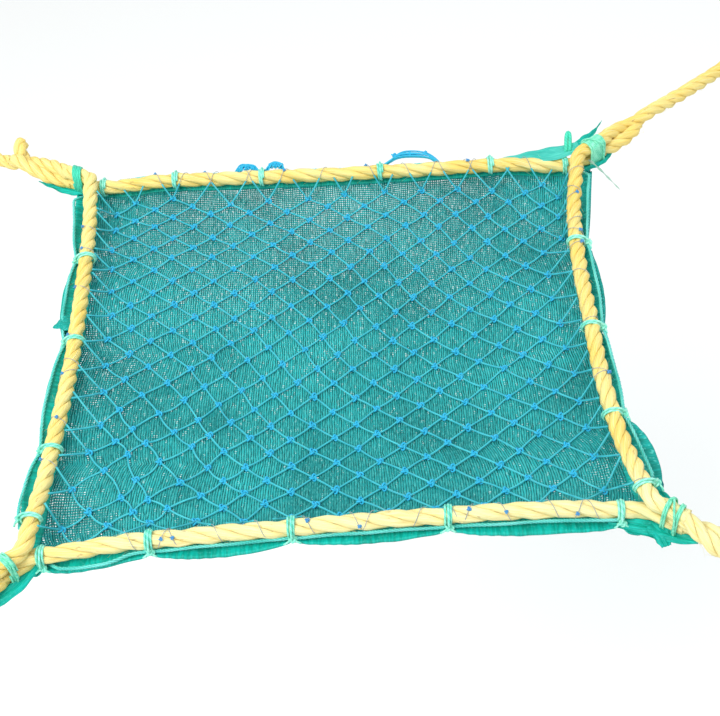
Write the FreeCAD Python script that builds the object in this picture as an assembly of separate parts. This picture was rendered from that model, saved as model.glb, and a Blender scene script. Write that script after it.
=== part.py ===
"""A rope-edged net panel, slung by its four corners: ropes, shade cloth, diamond net, hitches and ties.

Millimetres. X runs left to right along the long sides, Y from front to back, Z up.
The origin is the middle of the panel, in the plane of the border ropes' centrelines.
The panel folds in half about the line x = 0, so what crosses that line is made as two halves.
"""

import FreeCAD, Part
import math
import os

Vector = FreeCAD.Vector

# Panel
PANEL_X = 446.0  # between the side ropes' centrelines, at the corners
PANEL_Y = 382.0  # between the front and back ropes' ends, half-way from left to right
TAPER = 6.0  # half the depth is this much more at the left and this much less at the right

# How far each border rope is pulled in at its middle, and how flat that bow is before its ends
BOW = {"left": 10.0, "right": 17.5, "back": 4.0, "front": 5.0}
BOW_POWER = {"left": 1.9, "right": 2.9, "back": 1.7, "front": 1.7}

FOLD_GAP = 0.8  # between the two halves
SAG = 26.0  # the cloth's belly in the middle

# Ropes
ROPE_R = 6.0
LAYER = 6.1  # at a corner the side rope lies this far above the plane and the other one this far below
CORNER_FLAT = 22.0  # from a corner to where a rope starts back towards the plane
CORNER_RAMP = 62.0  # from a corner to where it is in the plane again
PIVOT_REACH = 31.0  # from a corner to the point about which its tie swings
SWING_GAP = 4.5  # from that point to the first moving section, so that it can swing
ROPE_END = PIVOT_REACH - 0.3  # where a border rope's fixed stretch ends, clear of the point of swing

# Corners: which way the tie runs, in degrees from +X, and which of the two ropes goes on as the tie
CORNERS = {
    "back_left": {"x": -1, "y": 1, "heading": 155.0, "tie_layer": -1},
    "back_right": {"x": 1, "y": 1, "heading": 35.0, "tie_layer": 1},
    "front_right": {"x": 1, "y": -1, "heading": -37.5, "tie_layer": -1},
    "front_left": {"x": -1, "y": -1, "heading": -134.0, "tie_layer": 1},
}

# Where a tie rope and the tail beside it begin: how far from the corner along the heading, and to its left
TIE_START = (PIVOT_REACH + SWING_GAP, 0.0)

# The rest of each tie rope's route, by the same two distances. It is pulled tight, so its runs are long.
TIE_ROUTES = {
    "back_left": [(74.0, -4.0), (131.0, -4.0)],
    "back_right": [(82.0, 2.0), (135.0, -0.5), (192.0, 2.5)],
    "front_right": [(68.0, -1.5), (112.0, -6.0)],
    "front_left": [(70.0, 1.5), (112.0, -1.5)],
}

# The same for the cut end of the other rope, which lies on or under the tie rope
TAIL_ROUTES = {
    "back_left": [(64.0, -1.0), (87.0, -5.0), (92.0, -22.0)],
    "back_right": [(56.0, 0.5), (76.0, 1.5)],
    "front_right": [(60.0, -0.5), (84.0, -1.0)],
    "front_left": [(58.0, 0.5), (80.0, 1.0)],
}

# Eyes
EYE_THROAT_R = 8.0
EYE_THROAT_LENGTH = 14.0
EYE_RING_R = 18.0  # to the middle of the rope
EYE_CENTRE = 33.0  # from the end of the tie rope

# Twine
HITCH_BORE_R = 6.2
HITCH_R = 8.1
HITCH_WIDTH = 5.0
HITCH_KNOT_R = 2.4
HITCHES = {  # where each one stands along its rope: x on the back and front ropes, y on the side ropes
    "back": [-213.5, -145.0, -65.0, 43.5, 143.5, 211.0],
    "front": [-213.0, -134.0, -32.0, 80.0, 202.5],
    "left": [97.5, 2.0, -107.0, -172.5],
    "right": [80.0, -16.5, -104.5, -173.5],
}
WHIPPING_START = 10.5  # from the corner
WHIPPING_END = 28.0
WHIPPING_BORE_R = 6.2
WHIPPING_R = 7.8
EDGE_CORD_R = 1.25
EDGE_CORD_OUT = 10.5  # from the border rope's centreline
EDGE_CORD_Z = -4.0
EDGE_CORD_CORNER = 27.0  # it stops this far from a corner

# Cloth and net
CLOTH_T = 1.6
CLOTH_MARGIN = 14.0  # past the border ropes' centrelines
CLOTH_EDGE_Z = -9.2  # top of the cloth under the border ropes
CLOTH_CORNER_DROP = 6.4  # lower still under a corner's crossed ropes
CLOTH_CORNER_REACH = 52.0
NET_T = 1.2
NET_ABOVE = 0.8  # from the cloth's top to the net's underside
NET_INSET = 11.0  # inside the border ropes' centrelines
GRID_ACROSS = 10
GRID_ALONG = 15

SIDE_OF_X = {-1: "left", 1: "right"}
SIDE_OF_Y = {-1: "front", 1: "back"}


def half_depth(x):
    """Half the panel's depth at this X."""
    return PANEL_Y / 2 - TAPER * 2 * x / PANEL_X


def bow(side, share):
    """How far a border rope is pulled in, share being -1 to 1 along it."""
    return BOW[side] * (1 - min(1.0, abs(share)) ** BOW_POWER[side])


def rope_x(x_sign, y):
    """X of a side rope's centreline at this Y."""
    return x_sign * (PANEL_X / 2 - bow(SIDE_OF_X[x_sign], y / half_depth(x_sign * PANEL_X / 2)))


def rope_y(y_sign, x):
    """Y of the front or back rope's centreline at this X."""
    return y_sign * (half_depth(x) - bow(SIDE_OF_Y[y_sign], 2 * x / PANEL_X))


def corner_point(name):
    corner = CORNERS[name]
    x = corner["x"] * PANEL_X / 2
    return Vector(x, corner["y"] * half_depth(x), 0)


def beyond(name, along, left=0.0, z=0.0):
    """A point given by its distances from a corner along its tie's heading and to the left of it."""
    angle = math.radians(CORNERS[name]["heading"])
    ahead = Vector(math.cos(angle), math.sin(angle), 0)
    aside = Vector(-math.sin(angle), math.cos(angle), 0)
    return corner_point(name) + ahead * along + aside * left + Vector(0, 0, z)


def route_wire(points, name=None):
    """Straight runs joined by tangent arcs, each of which takes 0.45 of the shorter of its two runs."""
    edges = []
    radii = []
    start = points[0]
    for before, corner, after in zip(points, points[1:], points[2:]):
        into = corner - before
        out = after - corner
        turn = into.getAngle(out)
        if turn < 1e-4:
            continue
        cut = 0.45 * min(into.Length, out.Length)
        into.normalize()
        out.normalize()
        radius = cut / math.tan(turn / 2)
        radii.append(radius)
        middle = (out - into).normalize() * (radius / math.cos(turn / 2) - radius)
        arc = Part.Arc(corner - into * cut, corner + middle, corner + out * cut)
        edges.append(Part.LineSegment(start, corner - into * cut).toShape())
        edges.append(arc.toShape())
        start = corner + out * cut
    edges.append(Part.LineSegment(start, points[-1]).toShape())
    if name:
        shown = ", ".join("%.0f" % radius for radius in radii)
        print("%s: arc radii %s mm" % (name, shown))
    return Part.Wire(edges)


def tube(points, radius, name=None):
    """A round rope or cord along a route."""
    path = route_wire(points, name)
    section = Part.Wire(Part.makeCircle(radius, points[0], points[1] - points[0]))
    solid = path.makePipeShell([section], True, False)
    if name:
        share = solid.Volume / (math.pi * radius**2 * path.Length)
        print("%s: %.0f mm long, volume %.4f of section x length" % (name, path.Length, share))
    return solid


def place_on(points, axis, value):
    """The point and direction of a route where its X (axis 0) or Y (axis 1) has this value."""
    samples = route_wire(points).discretize(1200)
    nearest = min(range(1, len(samples) - 1), key=lambda i: abs(samples[i][axis] - value))
    return samples[nearest], (samples[nearest + 1] - samples[nearest - 1]).normalize()


def side_rope_points(x_sign):
    """The left or right rope, front to back. It lies over the front and back ropes at its corners."""
    points = []
    for y_sign in (-1, 1):
        name = SIDE_OF_Y[y_sign] + "_" + SIDE_OF_X[x_sign]
        half = half_depth(x_sign * PANEL_X / 2)
        end = [beyond(name, ROPE_END, 0, LAYER), corner_point(name) + Vector(0, 0, LAYER)]
        for reach, height in ((CORNER_FLAT, LAYER), (CORNER_RAMP, 0.0), (0.66 * half, 0.0)):
            y = y_sign * (half - reach)
            end.append(Vector(rope_x(x_sign, y), y, height))
        points += end if y_sign < 0 else [Vector(rope_x(x_sign, 0), 0, 0)] + end[::-1]
    return points


def half_rope_points(y_sign, x_sign):
    """Half of the front or back rope, from its corner, where it lies under the side rope, to the fold."""
    name = SIDE_OF_Y[y_sign] + "_" + SIDE_OF_X[x_sign]
    half = PANEL_X / 2
    points = [beyond(name, ROPE_END, 0, -LAYER), corner_point(name) - Vector(0, 0, LAYER)]
    for reach, height in ((CORNER_FLAT, -LAYER), (CORNER_RAMP, 0.0), (0.62 * half, 0.0)):
        x = x_sign * (half - reach)
        points.append(Vector(x, rope_y(y_sign, x), height))
    points.append(Vector(x_sign * FOLD_GAP / 2, rope_y(y_sign, 0), 0))
    return points


def border_ropes():
    ropes = {}
    for x_sign, side in SIDE_OF_X.items():
        ropes["border_rope_" + side] = tube(side_rope_points(x_sign), ROPE_R)
        for y_sign, edge in SIDE_OF_Y.items():
            ropes["border_rope_%s_%s" % (edge, side)] = tube(half_rope_points(y_sign, x_sign), ROPE_R)
    return ropes


def ties(name):
    """A corner's tie rope, the other rope's cut tail beside it, and the eye at the tie's end."""
    layer = CORNERS[name]["tie_layer"] * LAYER
    tie_points = [beyond(name, along, left, layer) for along, left in [TIE_START] + TIE_ROUTES[name]]
    tail_points = [beyond(name, along, left, -layer) for along, left in [TIE_START] + TAIL_ROUTES[name]]
    return {
        "tie_rope_" + name: tube(tie_points, ROPE_R, "tie_rope_" + name),
        "rope_tail_" + name: tube(tail_points, ROPE_R),
        "tie_eye_" + name: eye(tie_points[-1], tie_points[-1] - tie_points[-2]),
    }


def eye(start, direction):
    """A spliced eye: a thick throat and a ring of the same rope, flat in the net's plane."""
    ahead = Vector(direction).normalize()
    throat = Part.makeCylinder(EYE_THROAT_R, EYE_THROAT_LENGTH, start, ahead)
    ring = Part.makeTorus(EYE_RING_R, ROPE_R, start + ahead * EYE_CENTRE, Vector(0, 0, 1))
    return throat.fuse(ring).removeSplitter().Solids[0]


def oval_face(radius, origin, aside):
    """A flat face round two ropes that lie one above the other."""
    up = Vector(0, 0, 1)
    top = origin + up * LAYER
    bottom = origin - up * LAYER
    side = aside * radius
    edges = [
        Part.LineSegment(bottom + side, top + side).toShape(),
        Part.Arc(top + side, top + up * radius, top - side).toShape(),
        Part.LineSegment(top - side, bottom - side).toShape(),
        Part.Arc(bottom - side, bottom - up * radius, bottom + side).toShape(),
    ]
    return Part.Face(Part.Wire(edges))


def whipping(name):
    """The twine that binds a corner's two ropes."""
    origin = beyond(name, WHIPPING_START)
    aside = beyond(name, WHIPPING_START, 1.0) - origin
    length = beyond(name, WHIPPING_END) - origin
    outer = oval_face(WHIPPING_R, origin, aside)
    bore = oval_face(WHIPPING_BORE_R, origin, aside)
    return outer.cut(bore).extrude(length).Solids[0]


def hitch(point, direction, outward):
    """A few turns of twine round a border rope, with its knot on the outer side."""
    start = point - direction * (HITCH_WIDTH / 2)
    ring = Part.makeCylinder(HITCH_R, HITCH_WIDTH, start, direction)
    knot_centre = point + outward * (HITCH_R * 0.92) + Vector(0, 0, HITCH_R * 0.38)
    bore = Part.makeCylinder(HITCH_BORE_R, 3 * HITCH_WIDTH, start - direction * HITCH_WIDTH, direction)
    return ring.fuse(Part.makeSphere(HITCH_KNOT_R, knot_centre)).cut(bore).removeSplitter().Solids[0]


def hitches():
    made = {}
    for x_sign, side in SIDE_OF_X.items():
        for number, y in enumerate(HITCHES[side], 1):
            point, direction = place_on(side_rope_points(x_sign), 1, y)
            made["hitch_%s_%d" % (side, number)] = hitch(point, direction, Vector(x_sign, 0, 0))
    for y_sign, edge in SIDE_OF_Y.items():
        for number, x in enumerate(HITCHES[edge], 1):
            half = half_rope_points(y_sign, -1 if x < 0 else 1)
            point, direction = place_on(half, 0, x)
            made["hitch_%s_%d" % (edge, number)] = hitch(point, direction, Vector(0, y_sign, 0))
    return made


def edge_cords():
    """The cord along the cloth's edge, outside each border rope."""
    cords = {}
    for x_sign, side in SIDE_OF_X.items():
        last = half_depth(x_sign * PANEL_X / 2) - EDGE_CORD_CORNER
        points = []
        for share in (-1.0, -0.6, 0.0, 0.6, 1.0):
            y = share * last
            points.append(Vector(rope_x(x_sign, y) + x_sign * EDGE_CORD_OUT, y, EDGE_CORD_Z))
        cords["edge_cord_" + side] = tube(points, EDGE_CORD_R)
        for y_sign, edge in SIDE_OF_Y.items():
            last = PANEL_X / 2 - EDGE_CORD_CORNER
            points = []
            for reach in (last, 0.55 * last, FOLD_GAP / 2):
                x = x_sign * reach
                points.append(Vector(x, rope_y(y_sign, x) + y_sign * EDGE_CORD_OUT, EDGE_CORD_Z))
            cords["edge_cord_%s_%s" % (edge, side)] = tube(points, EDGE_CORD_R)
    return cords


def cloth_top(x, y):
    """Height of the cloth's upper face."""
    sag = SAG * (1 - (2 * x / PANEL_X) ** 2) * (1 - (y / half_depth(x)) ** 2)
    from_corner = math.hypot(PANEL_X / 2 - abs(x), half_depth(x) - abs(y))
    drop = CLOTH_CORNER_DROP * math.exp(-((from_corner / CLOTH_CORNER_REACH) ** 4))
    return CLOTH_EDGE_Z - max(0.0, sag) - drop


def spline_surface(rows):
    """A smooth surface that has these rows of points as its control points and ends on the outer ones."""
    counts = (len(rows), len(rows[0]))
    mults = [[3] + [1] * (count - 3) + [3] for count in counts]
    knots = [[float(i) for i in range(len(some))] for some in mults]
    surface = Part.BSplineSurface()
    surface.buildFromPolesMultsKnots(rows, *mults, *knots, False, False, 2, 2)
    return surface


def sheet_half(x_sign, margin, lift, thickness):
    """Half of a thin sagging sheet, from the fold to this margin past the border ropes."""
    rows = []
    for i in range(GRID_ACROSS):
        row = []
        for j in range(GRID_ALONG):
            across = i / (GRID_ACROSS - 1)
            along = 2 * j / (GRID_ALONG - 1) - 1
            y = along * (half_depth(across * x_sign * PANEL_X / 2) + margin)
            edge_x = rope_x(x_sign, y) + x_sign * margin
            x = x_sign * FOLD_GAP / 2 + across * (edge_x - x_sign * FOLD_GAP / 2)
            y = along * (abs(rope_y(1, x)) + margin)
            row.append(Vector(x, y, cloth_top(x, y) + lift))
        rows.append(row)
    return spline_surface(rows).toShape().extrude(Vector(0, 0, thickness)).Solids[0]


def sheets():
    made = {}
    for x_sign, side in SIDE_OF_X.items():
        made["shade_cloth_" + side] = sheet_half(x_sign, CLOTH_MARGIN, -CLOTH_T, CLOTH_T)
        made["diamond_net_" + side] = sheet_half(x_sign, -NET_INSET, NET_ABOVE, NET_T)
    return made


def main():
    parts = {}
    parts.update(border_ropes())
    for name in CORNERS:
        parts.update(ties(name))
        parts["whipping_" + name] = whipping(name)
    parts.update(hitches())
    parts.update(edge_cords())
    parts.update(sheets())
    os.makedirs("parts", exist_ok=True)
    for name, shape in parts.items():
        shape.exportStep("parts/%s.step" % name)
        print("%-28s valid %s volume %.1f" % (name, shape.isValid(), shape.Volume))
    print(len(parts), "parts")


main()
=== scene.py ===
"""Looks for the rope-edged net panel: laid ropes, shade cloth, diamond net, hitches and ties.

Metres. X runs left to right along the long sides, Y from front to back, Z up.
"""

import math

import bpy
import numpy as np
from mathutils import Matrix, Vector


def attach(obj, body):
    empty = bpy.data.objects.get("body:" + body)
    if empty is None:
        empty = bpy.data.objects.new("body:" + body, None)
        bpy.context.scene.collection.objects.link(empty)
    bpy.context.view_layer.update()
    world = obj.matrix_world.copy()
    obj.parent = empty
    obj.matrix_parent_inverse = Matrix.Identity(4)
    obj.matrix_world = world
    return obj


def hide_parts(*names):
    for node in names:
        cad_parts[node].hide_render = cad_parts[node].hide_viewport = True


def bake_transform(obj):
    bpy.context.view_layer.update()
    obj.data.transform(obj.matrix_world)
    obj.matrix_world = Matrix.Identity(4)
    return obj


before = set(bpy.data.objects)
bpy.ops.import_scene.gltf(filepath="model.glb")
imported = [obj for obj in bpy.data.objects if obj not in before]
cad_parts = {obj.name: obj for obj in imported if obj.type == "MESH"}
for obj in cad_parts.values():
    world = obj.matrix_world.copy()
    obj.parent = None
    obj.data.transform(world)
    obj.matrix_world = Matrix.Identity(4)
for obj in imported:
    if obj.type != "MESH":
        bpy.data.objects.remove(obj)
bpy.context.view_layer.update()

MM = 0.001
UP = np.array([0.0, 0.0, 1.0])

# Panel, as in the CAD
PANEL_X = 446.0 * MM
PANEL_Y = 382.0 * MM
TAPER = 6.0 * MM  # half the depth grows by this to the left end and shrinks by it to the right end
BOW = {"left": 10.0 * MM, "right": 17.5 * MM, "back": 4.0 * MM, "front": 5.0 * MM}
BOW_POWER = {"left": 1.9, "right": 2.9, "back": 1.7, "front": 1.7}
SAG = 26.0 * MM  # how deep the cloth and the net hang in the middle
ROPE_LOOK = 6.5 * MM  # a laid rope stands a little proud of its nominal 6 mm radius
LAYER = 6.1 * MM  # at a corner one rope lies this far above the plane and the other this far below
CORNER_FLAT = 22.0 * MM  # nearer to the corner than this a rope keeps that height
CORNER_RAMP = 62.0 * MM  # and further away than this it is level
PIVOT_REACH = 31.0 * MM  # from a corner to the place where its tie swings
CORNERS = {
    "back_left": {"x": -1, "y": 1, "heading": 155.0, "tie_layer": -1},
    "back_right": {"x": 1, "y": 1, "heading": 35.0, "tie_layer": 1},
    "front_right": {"x": 1, "y": -1, "heading": -37.5, "tie_layer": -1},
    "front_left": {"x": -1, "y": -1, "heading": -134.0, "tie_layer": 1},
}
TIE_START = (35.5, 0.0)
TIE_ROUTES = {  # mm past the corner and mm to the left, as are the tails' routes
    "back_left": [(74.0, -4.0), (131.0, -4.0)],
    "back_right": [(82.0, 2.0), (135.0, -0.5), (192.0, 2.5)],
    "front_right": [(68.0, -1.5), (112.0, -6.0)],
    "front_left": [(70.0, 1.5), (112.0, -1.5)],
}
TAIL_ROUTES = {
    "back_left": [(64.0, -1.0), (87.0, -5.0), (92.0, -22.0)],
    "back_right": [(56.0, 0.5), (76.0, 1.5)],
    "front_right": [(60.0, -0.5), (84.0, -1.0)],
    "front_left": [(58.0, 0.5), (80.0, 1.0)],
}
EYE_RING_R = 18.0 * MM
EYE_CENTRE = 33.0 * MM
HITCHES = {  # mm along each rope from its middle
    "back": [-213.5, -145.0, -65.0, 43.5, 143.5, 211.0],
    "front": [-213.0, -134.0, -32.0, 80.0, 202.5],
    "left": [97.5, 2.0, -107.0, -172.5],
    "right": [80.0, -16.5, -104.5, -173.5],
}
CLOTH_EDGE_Z = -10.0 * MM
CLOTH_CORNER_DROP = 6.4 * MM
CLOTH_CORNER_REACH = 52.0 * MM

SIDE_OF_X = {-1: "left", 1: "right"}
SIDE_OF_Y = {-1: "front", 1: "back"}
SIDES = {"left": (0, -1), "right": (0, 1), "front": (1, -1), "back": (1, 1)}

# How fast the fibres of a twine turn, in radians a metre
TWINE_TWIST = 1200.0
NET_TWIST = 1500.0
LASHING_TWIST = 2500.0
TIE_PITCH = 40 * MM  # one turn of a strand in a tie, a side rope, and the front or back rope
SIDE_PITCH = 42 * MM
LONG_PITCH = 70 * MM


# ---------------------------------------------------------------- the panel's lines

def half_depth(x):
    """Half the panel's depth, which tapers from left to right."""
    return PANEL_Y / 2 - TAPER * 2 * x / PANEL_X


def half_length(side):
    """From a border rope's middle to a corner."""
    lengthwise, sign = SIDES[side]
    return PANEL_X / 2 if lengthwise else half_depth(sign * PANEL_X / 2)


def bow(side, share):
    """How far a border rope is pulled in, share being -1 to 1 along it."""
    return BOW[side] * (1 - np.minimum(1.0, np.abs(share)) ** BOW_POWER[side])


def rope_x(x_sign, y):
    side = SIDE_OF_X[x_sign]
    return x_sign * (PANEL_X / 2 - bow(side, y / half_length(side)))


def rope_y(y_sign, x):
    return y_sign * (half_depth(x) - bow(SIDE_OF_Y[y_sign], 2 * x / PANEL_X))


def corner_point(name):
    corner = CORNERS[name]
    x = corner["x"] * PANEL_X / 2
    return np.array([x, corner["y"] * half_depth(x), 0.0])


def corner_axes(name):
    """Ahead along the tie's heading, and to the left of it."""
    angle = math.radians(CORNERS[name]["heading"])
    return np.array([math.cos(angle), math.sin(angle), 0]), np.array([-math.sin(angle), math.cos(angle), 0])


def beyond(name, along, left=0.0, z=0.0):
    ahead, aside = corner_axes(name)
    return corner_point(name) + ahead * along + aside * left + UP * z


def half_at(x):
    """The body that carries what is at x."""
    return "main_half" if x < 0 else "flap_half"


def parent_half(name):
    return half_at(CORNERS[name]["x"])


def bend_at_fold(piece):
    """A piece that goes from one half to the other: its placement is baked into its mesh."""
    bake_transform(piece)


def side_rope_points(x_sign):
    points = []
    for y_sign in (-1, 1):
        name = SIDE_OF_Y[y_sign] + "_" + SIDE_OF_X[x_sign]
        half = half_length(SIDE_OF_X[x_sign])
        end = [beyond(name, along * MM, 0, LAYER) for along in (28.0, 8.0, 0.0)]
        heights = ((8 * MM, LAYER), (CORNER_FLAT, LAYER), (CORNER_RAMP, 0.0), (0.66 * half, 0.0))
        for reach, height in heights:
            y = y_sign * (half - reach)
            end.append(np.array([rope_x(x_sign, y), y, height]))
        points += end if y_sign < 0 else [np.array([rope_x(x_sign, 0), 0, 0])] + end[::-1]
    return points


def long_rope_points(y_sign):
    """The whole front or back rope, left to right."""
    points = []
    for x_sign in (-1, 1):
        name = SIDE_OF_Y[y_sign] + "_" + SIDE_OF_X[x_sign]
        half = PANEL_X / 2
        end = [beyond(name, PIVOT_REACH - 3 * MM, 0, -LAYER), beyond(name, 0, 0, -LAYER)]
        for reach, height in ((CORNER_FLAT, -LAYER), (CORNER_RAMP, 0.0), (0.62 * half, 0.0)):
            x = x_sign * (half - reach)
            end.append(np.array([x, rope_y(y_sign, x), height]))
        points += end if x_sign < 0 else [np.array([0, rope_y(y_sign, 0), 0])] + end[::-1]
    return points


# ---------------------------------------------------------------- lines, tubes and meshes

def unit(vectors):
    return vectors / np.maximum(np.linalg.norm(vectors, axis=-1, keepdims=True), 1e-12)


def distances(line):
    """How far along the line each of its points is."""
    return np.concatenate([[0], np.cumsum(np.linalg.norm(np.diff(line, axis=0), axis=1))])


def evenly(line, spacing):
    """The same line as points this far apart."""
    line = np.asarray(line, float)
    far = distances(line)
    count = max(4, int(round(far[-1] / spacing)) + 1)
    places = np.linspace(0, far[-1], count)
    return np.stack([np.interp(places, far, line[:, axis]) for axis in range(3)], axis=1)


def route_line(points, spacing=1.5 * MM):
    """The smooth NURBS line that has these control points."""
    curve = bpy.data.curves.new("route", "CURVE")
    curve.dimensions = "3D"
    curve.resolution_u = 48
    spline = curve.splines.new("NURBS")
    spline.points.add(len(points) - 1)
    for control, place in zip(spline.points, points):
        control.co = (*place, 1.0)
    spline.order_u = 3
    spline.use_endpoint_u = True
    holder = bpy.data.objects.new("route", curve)
    mesh = bpy.data.meshes.new_from_object(holder)
    line = np.array([vertex.co for vertex in mesh.vertices])
    bpy.data.objects.remove(holder)
    bpy.data.curves.remove(curve)
    bpy.data.meshes.remove(mesh)
    return evenly(line, spacing)


def wander(line, amount, seed, waves=(0.9, 2.3, 5.1)):
    """The same line with small sideways and vertical wobbles, none at its ends."""
    rng = np.random.default_rng(seed)
    share = np.linspace(0, 1, len(line))
    fade = np.sin(np.pi * share) ** 0.5
    moved = np.array(line)
    for wave in waves:
        for axis in range(3):
            moved[:, axis] += amount / wave**0.5 * fade * np.sin(2 * np.pi * (wave * share + rng.random()))
    return moved


def carried_frames(lines):
    """Tangents, normals and binormals of many lines of equal count; the normals are carried without twist."""
    tangent = unit(np.gradient(lines, axis=1))
    normal = np.empty_like(tangent)
    first = np.cross(tangent[:, 0], UP)
    weak = np.linalg.norm(first, axis=1) < 0.2
    first[weak] = np.cross(tangent[weak, 0], [1.0, 0.0, 0.0])
    normal[:, 0] = unit(first)
    for i in range(1, lines.shape[1]):
        before = normal[:, i - 1]
        along = (before * tangent[:, i]).sum(1, keepdims=True)
        normal[:, i] = unit(before - along * tangent[:, i])
    return tangent, normal, np.cross(tangent, normal)


class Shape:
    """Points, faces, fibre coordinates and crowns of a piece that is being put together."""

    def __init__(self):
        self.points = []
        self.faces = []
        self.fibre = []
        self.crown = []
        self.count = 0

    def add(self, points, faces, fibre, crown=1.0):
        points = np.asarray(points, float).reshape(-1, 3)
        self.faces += [face + self.count for face in faces]
        self.points.append(points)
        self.fibre.append(np.asarray(fibre, float).reshape(-1, 3))
        self.crown.append(np.broadcast_to(np.asarray(crown, float).ravel(), (len(points),)))
        self.count += len(points)

    def rings(self, points, fibre, crown=1.0, closed=False):
        """Skins of many lines of rings: points has the shape line, ring, point round the ring, axis."""
        many, count, sides = points.shape[:3]
        index = np.arange(many * count * sides).reshape(many, count, sides)
        low = index if closed else index[:, :-1]
        high = np.roll(index, -1, axis=1) if closed else index[:, 1:]
        quads = np.stack([low, np.roll(low, -1, axis=2), np.roll(high, -1, axis=2), high], axis=3)
        faces = list(quads.reshape(-1, 4))
        if not closed:
            faces += list(index[:, 0, ::-1]) + list(index[:, -1])
        self.add(points, faces, fibre, crown)

    def tubes(self, lines, radius, sides=8, twist=0.0, closed=False, crown=1.0):
        """Round tubes along lines of equal count. twist is how fast the fibres turn, in radians a metre."""
        lines = np.asarray(lines, float)
        if lines.ndim == 2:
            lines = lines[None]
        many, count = lines.shape[:2]
        if closed:
            tangent = unit(np.roll(lines, -1, axis=1) - np.roll(lines, 1, axis=1))
            out = lines - lines.mean(axis=1, keepdims=True)
            normal = unit(out - (out * tangent).sum(-1, keepdims=True) * tangent)
            side = np.cross(tangent, normal)
        else:
            tangent, normal, side = carried_frames(lines)
        radius = np.broadcast_to(np.asarray(radius, float), (many, count))[:, :, None, None]
        angle = np.linspace(0, 2 * np.pi, sides, endpoint=False)
        ring = np.cos(angle)[:, None] * normal[:, :, None] + np.sin(angle)[:, None] * side[:, :, None]
        steps = np.linalg.norm(np.diff(lines, axis=1), axis=2)
        far = np.concatenate([np.zeros((many, 1)), np.cumsum(steps, axis=1)], axis=1)
        turned = angle[None, None] + twist * far[:, :, None]
        fibre = np.stack([np.cos(turned), np.sin(turned), np.repeat(far[:, :, None], sides, axis=2)], axis=3)
        self.rings(lines[:, :, None] + radius * ring, fibre, crown, closed)

    def rope(self, line, radius=ROPE_LOOK, pitch=TIE_PITCH, phase=0.0, sides=19, strands=3, groove=0.28,
             yarns=5):
        """A laid rope of packed strands in a right-handed helix, with the yarns running along the rope."""
        line = np.asarray(line, float)
        _, normal, side = (each[0] for each in carried_frames(line[None]))
        far = distances(line)
        radius = np.broadcast_to(np.asarray(radius, float), (len(line),))
        half = np.pi / strands
        spread = np.linspace(-1, 1, sides) * 0.975
        crown = 1 - np.abs(spread) ** 1.9
        section_r = np.concatenate([1 - groove * (1 - crown), [0.5, 0.13, 0.5]])
        section_a = np.concatenate([spread, [0.96, 0.0, -0.96]]) * half
        crown = np.concatenate([crown, [0, 0, 0]])
        for strand in range(strands):
            swell = 1 + 0.035 * np.sin(far * 190 + strand * 1.7 + phase) + 0.025 * np.sin(far * 467 + strand)
            sway = 0.10 * np.sin(far * 71 + phase)
            angle = 2 * np.pi * (far / pitch + strand / strands) + phase + sway
            turned = angle[:, None] + section_a
            local = np.arctan2(section_r * np.sin(section_a), section_r * np.cos(section_a) - 0.5)
            around = local[None] + 2.3 * np.pi * far[:, None] / pitch + strand * 2.1 + phase
            ridged = 1 + 0.022 * np.sin(yarns * around + 2 * np.sin(far[:, None] * 83 + strand)) * (crown > 0)
            reach = (radius * swell)[:, None] * section_r * ridged
            points = line[:, None] + reach[..., None] * (
                np.cos(turned)[..., None] * normal[:, None] + np.sin(turned)[..., None] * side[:, None])
            along = np.broadcast_to(far[:, None], around.shape)
            fibre = np.stack([np.cos(around), np.sin(around), along], axis=2)
            self.rings(points[None], fibre, np.broadcast_to(crown, around.shape))

    def fuzz(self, line, count, seed, radius=ROPE_LOOK):
        """Loose fibres that stand off a rope."""
        rng = np.random.default_rng(seed)
        tangent, normal, side = (each[0] for each in carried_frames(np.asarray(line, float)[None]))
        picked = rng.integers(3, len(line) - 3, count)
        angle = rng.random(count) * 2 * np.pi
        out = np.cos(angle)[:, None] * normal[picked] + np.sin(angle)[:, None] * side[picked]
        way = np.sign(rng.normal(0, 1, count))[:, None] * tangent[picked]
        share = np.linspace(0, 1, 5)[None, :, None]
        long = (3 + 6 * rng.random(count))[:, None, None] * MM
        lean = (0.15 + 0.35 * rng.random(count))[:, None, None]
        start = line[picked] + out * radius * 0.93
        lines = start[:, None] + long * share * (way[:, None] + lean * out[:, None] * (0.4 + share))
        self.tubes(lines, 0.11 * MM * (1 - 0.7 * np.linspace(0, 1, 5))[None], 3, 0.0)

    def piece(self, name, material, slot):
        """The finished object, smooth-shaded."""
        mesh = bpy.data.meshes.new(name)
        points = np.concatenate(self.points)
        sizes = np.array([len(face) for face in self.faces])
        corners = np.concatenate(self.faces).astype(np.int32)
        mesh.vertices.add(len(points))
        mesh.vertices.foreach_set("co", points.astype(np.float32).ravel())
        mesh.loops.add(len(corners))
        mesh.loops.foreach_set("vertex_index", corners)
        mesh.polygons.add(len(sizes))
        starts = np.concatenate([[0], np.cumsum(sizes)[:-1]])
        mesh.polygons.foreach_set("loop_start", starts.astype(np.int32))
        mesh.update(calc_edges=True)
        mesh.validate()
        mesh.shade_smooth()
        fibre = mesh.attributes.new("fibre", "FLOAT_VECTOR", "POINT")
        fibre.data.foreach_set("vector", np.concatenate(self.fibre).astype(np.float32).ravel())
        crown = mesh.attributes.new("crown", "FLOAT", "POINT")
        crown.data.foreach_set("value", np.concatenate(self.crown).astype(np.float32))
        mesh.materials.append(material)
        thing = bpy.data.objects.new(name, mesh)
        bpy.context.scene.collection.objects.link(thing)
        return thing


# ---------------------------------------------------------------- camera, light and floor

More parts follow.
